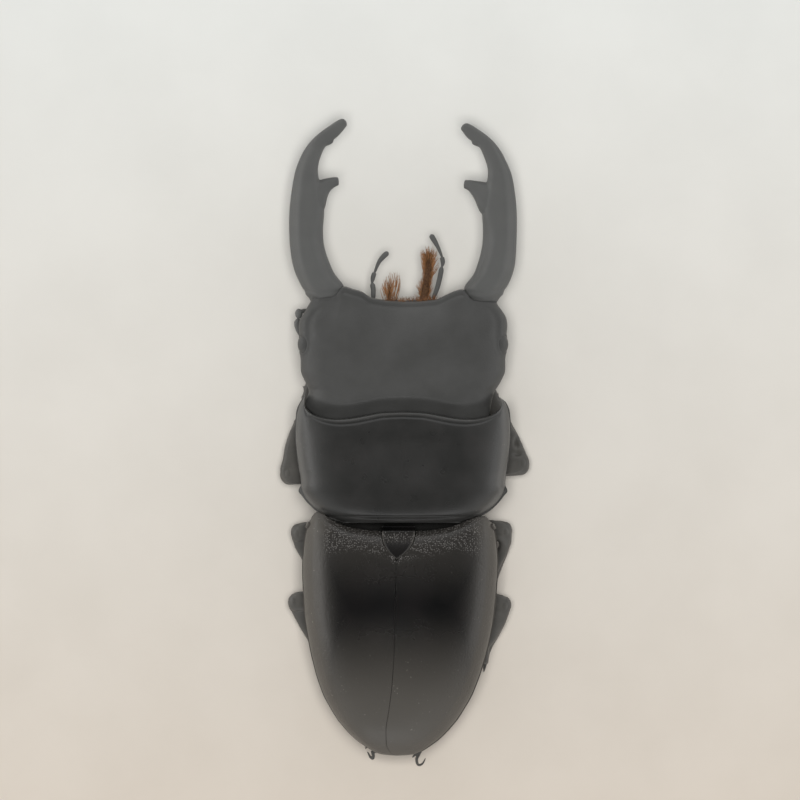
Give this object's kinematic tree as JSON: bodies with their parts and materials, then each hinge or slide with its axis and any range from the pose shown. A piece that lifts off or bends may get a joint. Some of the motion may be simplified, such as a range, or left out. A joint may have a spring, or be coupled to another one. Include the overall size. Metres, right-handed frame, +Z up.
{
  "type": "stag beetle model",
  "caption": "Life-size still model of a dried male stag beetle lying on its belly, with long toothed jaws, legs folded beneath it and orange mouth brushes.",
  "frame": {"origin": "on the surface that the beetle lies on, under the middle of its overall box", "axes": "+Y towards the jaws, +Z up through the back, +X to the beetle's right side"},
  "size_m": [0.0314, 0.081, 0.0126],
  "materials": {
    "black_chitin": "satin black",
    "eye": "dark brown, faceted sheen",
    "orange_bristle": "matte orange-brown bristles"
  },
  "bodies": {
    "root": {"abdomen": "black_chitin", "antenna_club_left": "black_chitin", "antenna_club_right": "black_chitin", "antenna_funicle_left": "black_chitin", "antenna_funicle_right": "black_chitin", "antenna_scape_left": "black_chitin", "antenna_scape_right": "black_chitin", "elytron_left": "black_chitin", "elytron_right": "black_chitin", "eye_left": "eye", "eye_right": "eye", "fore_left_femur": "black_chitin", "fore_left_tarsus": "black_chitin", "fore_left_tibia": "black_chitin", "fore_right_femur": "black_chitin", "fore_right_tarsus": "black_chitin", "fore_right_tibia": "black_chitin", "head": "black_chitin", "hind_left_femur": "black_chitin", "hind_left_tarsus": "black_chitin", "hind_left_tibia": "black_chitin", "hind_right_femur": "black_chitin", "hind_right_tarsus": "black_chitin", "hind_right_tibia": "black_chitin", "labrum": "black_chitin", "mandible_left": "black_chitin", "mandible_right": "black_chitin", "mentum": "black_chitin", "mid_left_femur": "black_chitin", "mid_left_tarsus": "black_chitin", "mid_left_tibia": "black_chitin", "mid_right_femur": "black_chitin", "mid_right_tarsus": "black_chitin", "mid_right_tibia": "black_chitin", "mouth_brush_left": "orange_bristle", "mouth_brush_right": "orange_bristle", "palp_left_1": "black_chitin", "palp_left_2": "black_chitin", "palp_left_3": "black_chitin", "palp_right_1": "black_chitin", "palp_right_2": "black_chitin", "palp_right_3": "black_chitin", "prothorax": "black_chitin", "scutellum": "black_chitin", "thorax": "black_chitin"}
  },
  "joints": []
}
